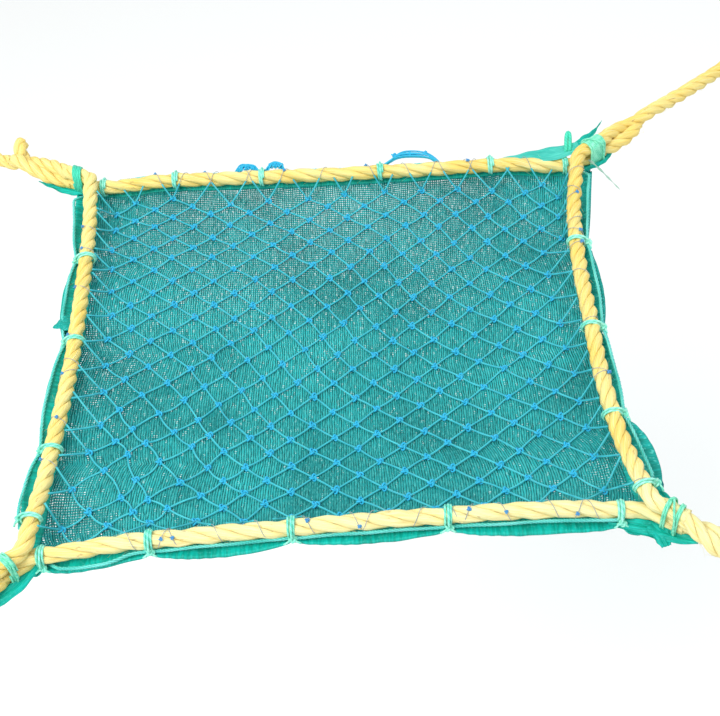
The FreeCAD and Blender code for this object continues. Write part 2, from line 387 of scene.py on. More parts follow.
SENSOR = 36.0
LENS = 60.0
CAMERA_PLACE = (0.0578, -0.647, 0.7294)
CAMERA_RIGHT = (0.9974, -0.0213, -0.0689)  # the picture's right, and the way from the object to the camera
CAMERA_BACK = (0.0391, -0.6429, 0.7649)
FLOOR_Z = -0.9
FLOOR_SIZE = 60.0


def add_camera():
    data = bpy.data.cameras.new("camera")
    data.sensor_width = SENSOR
    data.lens = LENS
    thing = bpy.data.objects.new("camera", data)
    right = Vector(CAMERA_RIGHT).normalized()
    back = Vector(CAMERA_BACK).normalized()
    above = back.cross(right).normalized()
    right = above.cross(back)
    turn = Matrix((right, above, back)).transposed()
    thing.matrix_world = Matrix.Translation(CAMERA_PLACE) @ turn.to_4x4()
    bpy.context.scene.collection.objects.link(thing)
    bpy.context.scene.camera = thing


def add_light(name, where, size, power, colour=(1, 1, 1)):
    data = bpy.data.lights.new(name, "AREA")
    data.size = size
    data.energy = power
    data.color = colour
    thing = bpy.data.objects.new(name, data)
    thing.location = where
    thing.rotation_euler = (-Vector(where)).to_track_quat("-Z", "Y").to_euler()
    bpy.context.scene.collection.objects.link(thing)


def add_stage():
    mesh = bpy.data.meshes.new("floor")
    corners = [(x * FLOOR_SIZE, y * FLOOR_SIZE, FLOOR_Z) for x, y in ((-1, -1), (1, -1), (1, 1), (-1, 1))]
    mesh.from_pydata(corners, [], [(0, 1, 2, 3)])
    floor = bpy.data.objects.new("floor", mesh)
    bpy.context.scene.collection.objects.link(floor)
    material = bpy.data.materials.new("floor")
    material.use_nodes = True
    shader = material.node_tree.nodes["Principled BSDF"]
    shader.inputs["Base Color"].default_value = (0.97, 0.97, 0.96, 1)
    shader.inputs["Roughness"].default_value = 0.9
    mesh.materials.append(material)
    world = bpy.data.worlds.new("studio")
    world.use_nodes = True
    world.node_tree.nodes["Background"].inputs["Color"].default_value = (0.95, 0.98, 1.0, 1)
    world.node_tree.nodes["Background"].inputs["Strength"].default_value = 0.85
    bpy.context.scene.world = world
    bpy.context.scene.view_settings.view_transform = "Standard"


add_camera()
add_stage()
add_light("key", (-0.75, -0.75, 1.5), 1.2, 30, (1.0, 0.97, 0.9))
add_light("fill", (1.2, 0.7, 1.6), 1.6, 10, (0.92, 0.97, 1.0))


# ---------------------------------------------------------------- materials

class Nodes:
    """A short way to write node trees."""

    def __init__(self, name):
        self.material = bpy.data.materials.new(name)
        self.material.use_nodes = True
        self.tree = self.material.node_tree
        self.shader = self.tree.nodes["Principled BSDF"]

    def node(self, kind, **settings):
        made = self.tree.nodes.new(kind)
        for key, value in settings.items():
            setattr(made, key, value)
        return made

    def put(self, socket, value):
        if isinstance(value, bpy.types.NodeSocket):
            self.tree.links.new(value, socket)
        elif isinstance(value, tuple) and len(value) == 3 and socket.type == "RGBA":
            socket.default_value = (*value, 1)
        else:
            socket.default_value = value

    def fibre(self):
        return self.node("ShaderNodeAttribute", attribute_name="fibre").outputs["Vector"]

    def crown(self):
        return self.node("ShaderNodeAttribute", attribute_name="crown").outputs["Fac"]

    def scaled(self, vector, scale):
        made = self.node("ShaderNodeVectorMath", operation="MULTIPLY")
        self.put(made.inputs[0], vector)
        self.put(made.inputs[1], scale)
        return made.outputs[0]

    def parts(self, vector):
        made = self.node("ShaderNodeSeparateXYZ")
        self.put(made.inputs[0], vector)
        return made.outputs

    def place(self):
        return self.node("ShaderNodeTexCoord").outputs["Object"]

    def noise(self, vector, scale, detail=3.0, rough=0.5):
        made = self.node("ShaderNodeTexNoise")
        self.put(made.inputs["Vector"], vector)
        self.put(made.inputs["Scale"], scale)
        self.put(made.inputs["Detail"], detail)
        self.put(made.inputs["Roughness"], rough)
        return made.outputs["Fac"]

    def math(self, operation, first, second=0.0, clamp=False):
        made = self.node("ShaderNodeMath", operation=operation, use_clamp=clamp)
        self.put(made.inputs[0], first)
        self.put(made.inputs[1], second)
        return made.outputs[0]

    def span(self, value, low, high, to_low=0.0, to_high=1.0):
        made = self.node("ShaderNodeMapRange")
        for key, part in zip(("Value", "From Min", "From Max", "To Min", "To Max"),
                             (value, low, high, to_low, to_high)):
            self.put(made.inputs[key], part)
        return made.outputs["Result"]

    def mix(self, share, first, second):
        made = self.node("ShaderNodeMix", data_type="RGBA")
        self.put(made.inputs[0], share)
        self.put(made.inputs[6], first)
        self.put(made.inputs[7], second)
        return made.outputs[2]

    def bump(self, height, strength, distance):
        made = self.node("ShaderNodeBump")
        self.put(made.inputs["Strength"], strength)
        self.put(made.inputs["Distance"], distance)
        self.put(made.inputs["Height"], height)
        self.put(self.shader.inputs["Normal"], made.outputs["Normal"])

    def finish(self, colour, roughness, sheen=0.0):
        self.put(self.shader.inputs["Base Color"], colour)
        self.put(self.shader.inputs["Roughness"], roughness)
        self.put(self.shader.inputs["Sheen Weight"], sheen)
        return self.material


ROPE_GOLD = (0.93, 0.67, 0.14)
ROPE_YELLOW = (0.95, 0.82, 0.33)
ROPE_STRAW = (0.96, 0.95, 0.55)
ROPE_OCHRE = (0.85, 0.59, 0.11)
# painted shade for the grooves between the strands
ROPE_GROOVE_SHADE = (0.80, 0.55, 0.11)
ROPE_DIRT = (0.36, 0.19, 0.10)


def rope_material():
    """Pale yellow film-fibre rope with streaks and dark specks; deeper yellow painted into its grooves as
    shade, and a painted pool of light on the ropes at the front left.
    """
    n = Nodes("rope")
    fibre = n.fibre()
    place = n.place()
    strands = n.noise(n.scaled(fibre, (6.0, 6.0, 22.0)), 1.0, 4.0, 0.6)
    fine = n.noise(n.scaled(fibre, (17.0, 17.0, 60.0)), 1.0, 3.0, 0.6)
    broad = n.noise(place, 19.0, 2.0)
    specks = n.noise(n.scaled(fibre, (2.4, 2.4, 130.0)), 1.0, 2.0)
    x, y, _ = n.parts(place)
    # painted light: a pool of sunlight painted on the ropes at the front left, pulling them towards the straw
    # colour
    painted_sunlight = n.math("MULTIPLY", n.span(y, -0.12, -0.185), n.span(x, -0.25, -0.15))
    base = n.mix(n.span(broad, 0.40, 0.60), ROPE_GOLD, ROPE_YELLOW)
    light = n.math("ADD", n.span(strands, 0.46, 0.66, 0.0, 0.75), n.math("MULTIPLY", painted_sunlight, 0.7), clamp=True)
    striped = n.mix(light, base, ROPE_STRAW)
    deep = n.mix(n.span(fine, 0.56, 0.40, 0.0, 0.55), striped, ROPE_OCHRE)
    # painted shade: where the crown is low, in the grooves, the colour is pulled towards the groove shade
    groove_shaded = n.mix(n.span(n.crown(), 0.0, 0.8, 0.32, 0.0), deep, ROPE_GROOVE_SHADE)
    dirty = n.mix(n.span(specks, 0.69, 0.74, 0.0, 0.6), groove_shaded, ROPE_DIRT)
    n.bump(n.math("ADD", strands, n.math("MULTIPLY", fine, 0.7)), 0.8, 0.0009)
    n.put(n.shader.inputs["Specular IOR Level"], 0.3)
    return n.finish(dirty, n.span(fine, 0.3, 0.7, 0.5, 0.7))


def twine_material(name, dark, light, knots=None):
    """Three-ply twine: the plies show as slanted ridges, painted lighter on their crests and darker in their
    valleys as light and shade. knots is the colour where the crown is low.
    """
    n = Nodes(name)
    cosine = n.parts(n.fibre())[0]
    cubed = n.math("MULTIPLY", n.math("MULTIPLY", cosine, cosine), cosine)
    ply = n.math("SUBTRACT", n.math("MULTIPLY", cubed, 4.0), n.math("MULTIPLY", cosine, 3.0))
    hairs = n.noise(n.scaled(n.fibre(), (9.0, 9.0, 400.0)), 1.0, 3.0, 0.6)
    patch = n.noise(n.place(), 40.0, 3.0)
    height = n.math("ADD", n.span(ply, -1.0, 1.0), n.math("MULTIPLY", hairs, 0.5))
    # painted light and shade on the ply relief, plus random tone patches
    share = n.math("ADD", n.span(height, 0.2, 1.3, 0.0, 0.6), n.span(patch, 0.35, 0.65, 0.0, 0.4), clamp=True)
    colour = n.mix(share, dark, light)
    if knots:
        colour = n.mix(n.span(n.crown(), 0.0, 1.0, 0.85, 0.0), colour, knots)
    n.bump(height, 0.35, 0.0006)
    return n.finish(colour, 0.5, sheen=0.1)


def see_through(n, colour, share):
    """Lets some light pass, as thin plastic tape does."""
    through = n.node("ShaderNodeBsdfTranslucent")
    n.put(through.inputs["Color"], colour)
    blend = n.node("ShaderNodeMixShader")
    n.put(blend.inputs[0], share)
    n.put(blend.inputs[1], n.shader.outputs[0])
    n.put(blend.inputs[2], through.outputs[0])
    n.put(n.tree.nodes["Material Output"].inputs["Surface"], blend.outputs[0])
    return n.material


def cloth_material():
    """Flat plastic tapes; the crown tells the bright zigzag tapes from the pillar stitches, which are painted
    dark as the shade between the tapes.
    """
    n = Nodes("shade_cloth")
    streaks = n.noise(n.fibre(), 1.0, 3.0, 0.6)
    patch = n.noise(n.place(), 9.0, 4.0, 0.6)
    tape = n.mix(n.span(patch, 0.36, 0.64), (0.004, 0.21, 0.215), (0.026, 0.48, 0.50))
    tape = n.mix(n.span(streaks, 0.45, 0.75, 0.0, 0.8), tape, (0.11, 0.52, 0.50))
    # painted shade: the pillar stitches are coloured dark to stand for the shade between the tapes
    shaded_stitch = n.mix(n.span(streaks, 0.4, 0.6), (0.002, 0.12, 0.12), (0.012, 0.25, 0.255))
    colour = n.mix(n.crown(), shaded_stitch, tape)
    n.bump(streaks, 0.3, 0.0003)
    n.put(n.shader.inputs["Specular IOR Level"], 0.25)
    n.finish(colour, n.span(streaks, 0.3, 0.7, 0.45, 0.65))
    return see_through(n, colour, 0.22)


def hem_material(name, dark, light, painted_hole_light=0.25):
    """The cloth where it is folded or bunched: dense tapes, fine ribs along the stitches, and pale specks
    painted as light showing through its holes.
    """
    n = Nodes(name)
    ribs = n.noise(n.scaled(n.fibre(), (1.0, 0.16, 1.0)), 1.0, 2.0, 0.5)
    dots = n.noise(n.fibre(), 1.0, 1.0, 0.5)
    patch = n.noise(n.place(), 34.0, 3.0, 0.6)
    share = n.math("ADD", n.span(ribs, 0.42, 0.62, 0.0, 0.6), n.span(patch, 0.35, 0.65, 0.0, 0.5), clamp=True)
    # painted light: pale specks stand for light showing through the knit's holes
    colour = n.mix(n.span(dots, 0.58, 0.70, 0.0, painted_hole_light), n.mix(share, dark, light), (0.12, 0.72, 0.66))
    n.bump(n.math("ADD", ribs, n.math("MULTIPLY", dots, 0.6)), 0.6, 0.0006)
    n.put(n.shader.inputs["Specular IOR Level"], 0.25)
    n.finish(colour, n.span(dots, 0.3, 0.7, 0.40, 0.6))
    return see_through(n, colour, 0.25)


ROPE = rope_material()
WHIPPING_DEEP = twine_material("whipping_twine_deep", (0.006, 0.42, 0.27), (0.06, 0.72, 0.50))
WHIPPING = twine_material("whipping_twine", (0.05, 0.55, 0.36), (0.34, 0.93, 0.66))
HITCH = twine_material("hitch_twine", (0.06, 0.60, 0.46), (0.42, 0.94, 0.76))
EDGE = twine_material("edge_cord", (0.02, 0.48, 0.42), (0.19, 0.81, 0.76))
NET = twine_material("net_twine", (0.010, 0.33, 0.43), (0.045, 0.54, 0.62), knots=(0.0005, 0.42, 0.74))
LASHING = twine_material("net_lashing", (0.20, 0.30, 0.36), (0.46, 0.44, 0.46), knots=(0.01, 0.28, 0.66))
CLOTH = cloth_material()
HEM = hem_material("cloth_hem", (0.0005, 0.34, 0.26), (0.004, 0.64, 0.55))
BRIGHT_HEM = hem_material("cloth_strip", (0.02, 0.50, 0.42), (0.12, 0.72, 0.62))
PALE_TAPE = hem_material("stray_tape", (0.28, 0.48, 0.40), (0.50, 0.70, 0.60))
TEAL_HEM = hem_material("cloth_hem_teal", (0.001, 0.30, 0.25), (0.012, 0.56, 0.52), painted_hole_light=0.8)


# ---------------------------------------------------------------- ties: each rope, and the tail round it

BUNDLE_R = 5.4 * MM
BUNDLE_PITCH = {  # one turn of the two ropes round each other; minus is left-handed
    "back_left": 150 * MM,
    "back_right": -150 * MM,
    "front_right": 120 * MM,
    "front_left": 120 * MM,
}
TIE_OVERLAP = 24 * MM  # from the corner: the looks of a tie start inside the whipping
SHOULDER = 26 * MM  # over this length the tie comes back to its own line past the tail's end
SHORT_SHOULDER = 12 * MM  # at the back left, where the tail turns away from the tie


def smooth(value):
    value = np.clip(value, 0, 1)
    return value * value * (3 - 2 * value)


def go_round(name, line, layer, until):
    """The line of a tie or its tail, as the two go round each other up to that distance."""
    _, aside = corner_axes(name)
    far = distances(line)
    angle = 2 * np.pi * far / BUNDLE_PITCH[name] + math.copysign(math.pi / 2, layer)
    shoulder = SHORT_SHOULDER if name == "back_left" else SHOULDER
    free = smooth((far - until) / shoulder)[:, None]
    swing = BUNDLE_R * (1 - free) * (np.cos(angle)[:, None] * aside + np.sin(angle)[:, None] * UP)
    return line - UP * layer * (1 - free) + swing


def tie_route(name, route, layer):
    points = [beyond(name, along * MM, left * MM, layer) for along, left in [TIE_START] + route]
    return route_line([beyond(name, TIE_OVERLAP, 0, layer)] + points)


def add_tie(name):
    body = "tie_" + name
    layer = CORNERS[name]["tie_layer"] * LAYER
    tail_line = tie_route(name, TAIL_ROUTES[name], -layer)
    tail_far = distances(tail_line)
    until = 58 * MM if name == "back_left" else tail_far[-1] - 12 * MM
    route = tie_route(name, TIE_ROUTES[name], layer)
    line = go_round(name, route, layer, until)
    shape = Shape()
    shape.rope(line, pitch=TIE_PITCH, phase=0.7)
    tie = shape.piece("tie_" + name + "_rope", ROPE, "rope")
    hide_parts("tie_rope_" + name)
    tail = go_round(name, tail_line, -layer, until)
    left = (tail_far[-1] - tail_far) / MM
    if name == "back_left":
        size = 1 + 0.07 * np.clip(1 - left / 6, 0, 1) - 0.5 * np.clip(1 - left / 1.2, 0, 1)
    else:
        size = np.interp(left, [0, 3, 12, 26], [0.30, 0.62, 0.88, 1.0])
    tail_shape = Shape()
    tail_shape.rope(tail, radius=ROPE_LOOK * size, pitch=TIE_PITCH, phase=2.2)
    tail_piece = tail_shape.piece("tie_" + name + "_tail", ROPE, "rope")
    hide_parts("rope_tail_" + name)
    loose = Shape()
    loose.fuzz(line, 26, 31)
    loose.fuzz(tail, 22, 32)
    fibres = loose.piece("tie_" + name + "_fibres", ROPE, "rope")
    eye = add_eye(name, line[-1], unit(line[-1] - line[-4]))
    for piece in (tie, tail_piece, fibres):
        blend_at_swing(piece)
    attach(eye, body)


def blend_at_swing(piece):
    """A corner's piece that goes with its tie: its placement is baked into its mesh."""
    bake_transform(piece)


def add_eye(name, start, ahead):
    """A spliced eye: the rope's own loop, with its strands tucked back into a thick throat."""
    side = unit(np.cross(UP, ahead))
    shape = Shape()
    centre = start + ahead * EYE_CENTRE
    turn = np.linspace(-np.pi * 0.84, np.pi * 0.84, 90)[:, None]
    ring = centre + EYE_RING_R * (np.cos(turn) * ahead + np.sin(turn) * side)
    legs = [start + ahead * 8 * MM + side * way * 2.4 * MM for way in (-1, 1)]
    ring = np.concatenate([[legs[0]], ring, [legs[1]]])
    shape.rope(evenly(ring, 1.5 * MM), pitch=TIE_PITCH, phase=1.1)
    throat = start + ahead * np.linspace(-7 * MM, 15 * MM, 24)[:, None]
    size = np.interp(np.linspace(0, 1, 24), [0, 0.2, 0.7, 1], [6.4, 8.0, 8.2, 6.0]) * MM
    shape.rope(throat, radius=size, pitch=46 * MM, strands=6, phase=0.4, sides=7)
    eye = shape.piece("tie_" + name + "_eye", ROPE, "rope")
    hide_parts("tie_eye_" + name)
    return eye


for corner_name in CORNERS:
    add_tie(corner_name)


# ---------------------------------------------------------------- border ropes

def add_border_ropes():
    for x_sign, side in SIDE_OF_X.items():
        shape = Shape()
        line = wander(route_line(side_rope_points(x_sign)), 0.35 * MM, 3 + x_sign)
        shape.rope(line, pitch=SIDE_PITCH, phase=0.4 + x_sign)
        shape.fuzz(line, 70, 40 + x_sign)
        rope = shape.piece("rope_" + side, ROPE, "rope")
        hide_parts("border_rope_" + side)
        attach(rope, half_at(x_sign))
    for y_sign, edge in SIDE_OF_Y.items():
        shape = Shape()
        line = wander(route_line(long_rope_points(y_sign)), 0.35 * MM, 7 + y_sign)
        shape.rope(line, pitch=LONG_PITCH, phase=1.7 + y_sign)
        shape.fuzz(line, 80, 50 + y_sign)
        rope = shape.piece("rope_" + edge, ROPE, "rope")
        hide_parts("border_rope_%s_left" % edge, "border_rope_%s_right" % edge)
        bend_at_fold(rope)


add_border_ropes()


# ---------------------------------------------------------------- places beside a border rope

BULGES = {  # how far the cloth reaches past each rope between its hitches, in mm
    "left": [15, 16, 17, 18, 17],
    "right": [19, 24, 14, 17, 15],
    "front": [9.5, 11, 13, 12, 13.5, 14],
    "back": [10, 9, 9, 10, 13, 13, 12],
}
PINCH = 8.0  # and at the hitches
BULGE_POWER = 0.58  # below 1 the bulges are blunt
RISES = {  # how far the cloth's edge rises at a hitch and between two hitches, in mm
    "left": (7.0, 6.0),
    "right": (5.0, 3.0),
    "front": (5.0, 0.6),
    "back": (5.0, 0.6),
}
BEYOND_CORNER = {"left": 40 * MM, "right": 25 * MM, "front": 0.0, "back": 0.0}  # where the outer bulges end


def rope_side(side, along):
    """How far from the middle a border rope's centreline is, at this place along it."""
    lengthwise, sign = SIDES[side]
    return sign * (rope_y(sign, along) if lengthwise else rope_x(sign, along))


def rope_height(side, along):
    half = half_length(side)
    rise = -LAYER if SIDES[side][0] else LAYER
    return rise * smooth((CORNER_RAMP - (half - np.abs(along))) / (CORNER_RAMP - CORNER_FLAT))


def beside(side, along, out, z):
    """Points at places along a border rope, this far outside its centreline."""
    lengthwise, sign = SIDES[side]
    across = sign * (rope_side(side, along) + out)
    along = np.broadcast_to(along, np.shape(across))
    z = np.broadcast_to(z, np.shape(across))
    return np.stack([along, across, z] if lengthwise else [across, along, z], axis=-1)


def hitch_stops(side):
    half = half_length(side)
    more = BEYOND_CORNER[side]
    return [-half - more] + sorted(place * MM for place in HITCHES[side]) + [half + more]


def arch(side, along):
    """0 at the hitches and 1 half-way between them, and how far the cloth reaches out there."""
    along = np.asarray(along, float)
    stops = hitch_stops(side)
    free = np.zeros(along.shape)
    reach = np.full(along.shape, PINCH * MM)
    for low, high, bulge in zip(stops, stops[1:], BULGES[side]):
        here = (along >= low) & (along <= high)
        share = np.sin(np.pi * np.clip((along - low) / (high - low), 0, 1)) ** BULGE_POWER
        free = np.where(here, share, free)
        reach = np.where(here, (PINCH + (bulge - PINCH) * share) * MM, reach)
    return free, reach


def beside_drop(side, along, out):
    """How high the cloth is over its level under the rope: lifted at the hitches, drooping between them."""
    free, reach = arch(side, along)
    share = np.clip(out / reach, 0, 1.2)
    held, between = RISES[side]
    return (held + (between - held) * free) * share**1.3 * MM


# ---------------------------------------------------------------- cloth

WALES = 246  # pillar stitches across the cloth, and rows of stitches from front to back
ROWS = 196
TAPE_WIDTH = 2.05 * MM
TAPE_SLANT = 0.12  # of the distance between two rows
STITCH_WIDTH = 0.85 * MM


def cloth_level(x, y):
    """Height of the cloth inside the ropes, and of its level under them."""
    sag = SAG * (1 - (2 * x / PANEL_X) ** 2) * (1 - (y / half_depth(x)) ** 2)
    from_corner = np.hypot(PANEL_X / 2 - np.abs(x), half_depth(x) - np.abs(y))
    drop = CLOTH_CORNER_DROP * np.exp(-((from_corner / CLOTH_CORNER_REACH) ** 4))
    return CLOTH_EDGE_Z - np.maximum(0.0, sag) - drop


def cloth_surface(u, v):
    """Where the cloth is at u across and v along, each -1 to 1."""
    y = v * half_depth(u * PANEL_X / 2)
    right = rope_x(1, y) + arch("right", y)[1]
    left = rope_x(-1, y) - arch("left", y)[1]
    x = np.where(u > 0, u * right, -u * left)
    back = rope_y(1, x) + arch("back", x)[1]
    front = rope_y(-1, x) - arch("front", x)[1]
    y = np.where(v > 0, v * back, -v * front)
    z = cloth_level(x, y)
    outs = {
        "right": x - rope_x(1, y),
        "left": rope_x(-1, y) - x,
        "back": y - rope_y(1, x),
        "front": rope_y(-1, x) - y,
    }
    for side, out in outs.items():
        z = z + np.where(out > 0, beside_drop(side, x if SIDES[side][0] else y, np.maximum(out, 0)), 0)
    out = np.maximum.reduce(list(outs.values()))
    ripple = np.sin(x * 170 + 3 * np.sin(y * 37)) * np.sin(y * 150 + 2 * np.sin(x * 31))
    near_edge = np.clip(1 + out / (70 * MM), 0, 1) ** 2
    under_hem = np.clip(1 + out / (5 * MM), 0, 1)
    z = z - 0.3 * MM * under_hem
    z = z + 0.9 * MM * ripple * near_edge * (1 - under_hem)
    z = z + 0.8 * MM * np.sin(x * 33 + 1.3) * np.sin(y * 41 + 0.4) * (1 - under_hem)
    return np.stack([x, y, z], axis=-1)


def add_cloth():
    """Pillar stitches from front to back, and in every gap between two of them a tape that zigzags."""
    shape = Shape()
    rng = np.random.default_rng(11)
    across, along = np.meshgrid(np.linspace(-1, 1, WALES), np.linspace(-1, 1, ROWS), indexing="ij")
    knots = cloth_surface(across + rng.normal(0, 0.22, across.shape) / WALES, along)
    aside = np.array([1.0, 0, 0])
    width = STITCH_WIDTH / 2 * (0.7 + 0.6 * rng.random((WALES, ROWS, 1)))
    lifted = knots + UP * 0.22 * MM
    pair = np.stack([lifted - aside * width, lifted + aside * width], axis=2)[:, ::2]
    rows = pair.shape[1]
    index = np.arange(WALES * rows * 2).reshape(WALES, rows, 2)
    quads = np.stack([index[:, :-1, 0], index[:, :-1, 1], index[:, 1:, 1], index[:, 1:, 0]], axis=-1)
    tone = np.broadcast_to(rng.random((WALES, 1, 1)) * 20, (WALES, rows, 2))
    place = np.broadcast_to(np.arange(rows)[None, :, None] * 0.8, (WALES, rows, 2))
    shape.add(pair, list(quads.reshape(-1, 4)), np.stack([tone, place, tone], axis=-1), 0.0)
    zig = ((np.arange(ROWS - 1)[None] + rng.integers(0, 2, (WALES - 1, 1))) % 2 == 0)[..., None]
    share = np.where(zig, 0.5 - TAPE_SLANT / 2, 0.5 + TAPE_SLANT / 2)
    first = (knots[:-1, :-1] * (1 - share) + knots[:-1, 1:] * share).reshape(-1, 3)
    second = (knots[1:, :-1] * share + knots[1:, 1:] * (1 - share)).reshape(-1, 3)
    ahead = unit(second - first)
    size = np.where(rng.random(len(first)) < 0.05, 0.65, 0.94 + 0.14 * rng.random(len(first)))
    half = unit(np.cross(ahead, UP)) * (TAPE_WIDTH / 2 * size)[:, None]
    more = ahead * 0.1 * MM
    corners = [first - half - more, first + half - more, second + half + more, second - half + more]
    tone = np.broadcast_to(rng.random((len(first), 1)) * 60, (len(first), 4))
    end = np.broadcast_to([0.0, 0.0, 1.0, 1.0], (len(first), 4))
    faces = list(np.arange(len(first) * 4).reshape(-1, 4))
    shape.add(np.stack(corners, axis=1), faces, np.stack([tone, end, end], axis=-1), 1.0)
    made = shape.piece("shade_cloth", CLOTH, "shade_cloth")
    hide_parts("shade_cloth_left", "shade_cloth_right")
    bend_at_fold(made)
    return made


def add_hem(side):
    """The cloth's edge, folded double and pulled out past the rope: a long flat closed band."""
    shape = Shape()
    half = half_length(side) - 3 * MM
    along = np.arange(-half, half, 1.6 * MM)
    _, reach = arch(side, along)
    share = np.array([0.0, 0.2, 0.45, 0.7, 0.88, 1.0, 1.02, 0.96, 0.8, 0.5, 0.2, 0.0])
    lower = np.array([0, 0, 0, 0, 0, 0, 1, 1, 1, 1, 1, 1])
    out = -2 * MM + (reach[:, None] + 2.6 * MM) * share
    rise = beside_drop(side, along[:, None], np.maximum(out, 0))
    across = SIDES[side][1] * (rope_side(side, along)[:, None] + out)
    level = cloth_level(along[:, None], across) if SIDES[side][0] else cloth_level(across, along[:, None])
    rng = np.random.default_rng(60 + len(side))
    wave = np.sin(along[:, None] * 480 + 5 * np.sin(along[:, None] * 60) + rng.random() * 6)
    wave = wave + 0.6 * np.sin(along[:, None] * 211 + share * 2)
    z = level + rise + (0.7 - 2.0 * lower) * MM + 0.35 * MM * wave * np.clip(share, 0, 1)
    fibre = np.stack(np.broadcast_arrays(along[:, None] / (1.9 * MM) * 0.9, share * 6.0, 0.0), axis=-1)
    shape.rings(beside(side, along[:, None], out, z)[None], fibre)
    band = shape.piece("cloth_hem_" + side, TEAL_HEM if side == "right" else HEM, "shade_cloth")
    if SIDES[side][0]:
        bend_at_fold(band)
    else:
        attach(band, half_at(SIDES[side][1]))
    return band


cloth = add_cloth()
hems = [add_hem(side) for side in SIDES]


# ---------------------------------------------------------------- net

NET_R = 0.82 * MM
LASHING_R = 0.27 * MM
KNOT_SIZE = 2.9 * MM
MESH_U = np.array([16.8, 14.1]) * MM  # from a knot to its next ones
MESH_V = np.array([18.4, -14.0]) * MM
STEEP_V = np.array([12.0, -20.0]) * MM  # and where the net is pulled narrow
STEEP_AT = -1.0  # the middle of that band and its width, in meshes
STEEP_WIDTH = 2.5
NET_START = np.array([-17.0, -13.8]) * MM  # the middle knot
NET_REACH = 26  # meshes each way from it


def net_nodes():
    """Knots of the net: a diamond lattice with one band pulled narrow, slack at the front left."""
    steps = np.arange(-NET_REACH, NET_REACH + 1)
    weight = np.exp(-(((steps[:-1] + 0.5 - STEEP_AT) / STEEP_WIDTH) ** 2))[:, None]
    walk = np.concatenate([[[0, 0]], np.cumsum((1 - weight) * MESH_V + weight * STEEP_V, axis=0)])
    walk = walk - walk[NET_REACH]
    flat = NET_START + steps[:, None, None] * MESH_U + walk[None]
    i, j = np.meshgrid(steps, steps, indexing="ij")
    x, y = flat[..., 0], flat[..., 1]
    y = y - 0.3 * y * np.abs(y) - 1.5 * MM * (y / 0.1) ** 2 - 1.0 * MM * (x / 0.1) ** 2
    rng = np.random.default_rng(5)
    slack = np.exp(-((x + 0.165) ** 2 + (y + 0.13) ** 2) / (2 * 0.055**2))
    x = x + slack * 5 * MM * np.sin(i * 1.9 + j * 0.7) + rng.normal(0, 0.8, x.shape) * MM
    y = y + slack * 4 * MM * np.sin(i * 0.8 - j * 1.7) + rng.normal(0, 0.8, x.shape) * MM
    return x, y, slack


def edge_gap(x, y):
    """How far inside the border ropes' inner side a point is, and which rope is nearest."""
    gaps = np.stack([rope_side("right", y) - x, rope_side("left", y) + x,
                     rope_side("back", x) - y, rope_side("front", x) + y])
    return gaps.min(axis=0) - 10 * MM, gaps.argmin(axis=0)


def bar_lines(start, end, slack, rng, count=6):
    """Slightly curved twines from knot to knot."""
    share = np.linspace(0, 1, count)[None, :, None]
    line = start[:, None] * (1 - share) + end[:, None] * share
    aside = unit(np.cross(end - start, UP))
    bend = (rng.normal(0, 0.5, len(start)) + 2.2 * slack * np.sign(rng.normal(0, 1, len(start)))) * MM
    curve = np.sin(np.pi * share)
    line = line + curve * (bend[:, None] * aside)[:, None]
    line[..., 2] -= 0.5 * MM * curve[..., 0]
    return line


def edge_twines(start, end, nearest):
    """From each outer knot a twine to the rope's inner side, and one from there over the rope."""
    leads, overs = [], []
    for a, b, which in zip(start, end, nearest):
        side = ("right", "left", "back", "front")[which]
        lengthwise, sign = SIDES[side]
        along, across = (a[0], a[1]) if lengthwise else (a[1], a[0])
        step = (b - a)[:2] if lengthwise else (b - a)[1::-1]
        slope = np.clip(step[0] / max(abs(step[1]), 5 * MM), -1.0, 1.0)
        gap = rope_side(side, along) - sign * across
        turn = np.linspace(np.pi, -0.22 * np.pi, 15)
        place = along + slope * (gap - 6 * MM + np.linspace(0, 11 * MM, 15))
        limit = half_length(side) - 14 * MM
        place = np.clip(place, -limit, limit)
        reach = ROPE_LOOK + 0.35 * MM
        over = beside(side, place, reach * np.cos(turn), rope_height(side, place) + reach * np.sin(turn))
        share = np.linspace(0, 1, 6)[:, None]
        lead = a * (1 - share) + over[1] * share
        lead[:, 2] -= 0.8 * MM * np.sin(np.pi * share[:, 0])
        leads.append(lead)
        overs.append(over[:13])
    return np.array(leads), np.array(overs)


def small_knots(centres, size, rng, count=18):
    """Closed overhand knots at these points, each turned its own way."""
    t = np.linspace(0, 2 * np.pi, count, endpoint=False)
    trefoil = [np.sin(t) + 2 * np.sin(2 * t), np.cos(t) - 2 * np.cos(2 * t), -1.3 * np.sin(3 * t)]
    form = np.stack(trefoil, axis=1) / 3
    turn = rng.random(len(centres)) * 2 * np.pi
    cosine, sine = np.cos(turn)[:, None], np.sin(turn)[:, None]
    x = cosine * form[None, :, 0] - sine * form[None, :, 1]
    y = sine * form[None, :, 0] + cosine * form[None, :, 1]
    z = np.broadcast_to(form[None, :, 2], x.shape)
    grow = size * (0.85 + 0.3 * rng.random(len(centres)))[:, None, None]
    return centres[:, None] + grow * np.stack([x, y, z], axis=2)


